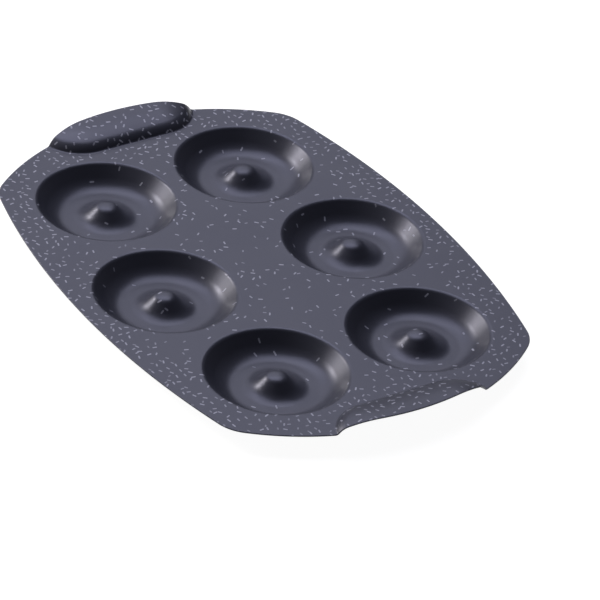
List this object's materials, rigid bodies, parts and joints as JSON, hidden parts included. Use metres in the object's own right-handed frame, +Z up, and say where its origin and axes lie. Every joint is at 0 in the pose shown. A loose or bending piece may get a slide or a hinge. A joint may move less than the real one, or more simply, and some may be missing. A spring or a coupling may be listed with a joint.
{
  "type": "doughnut pan",
  "caption": "Pressed metal baking pan with ring-shaped cups round centre posts and a raised grip in each end.",
  "frame": {"origin": "centre of the pan on the surface that its cups stand on", "axes": "+Z up out of the cups, +Y along the pan towards one grip, +X across the pan"},
  "size_m": [0.2116, 0.3036, 0.0185],
  "materials": {
    "coating": "satin dark slate non-stick coating with scattered pale grey dashes"
  },
  "bodies": {
    "root": {"pan": "coating"}
  },
  "joints": []
}
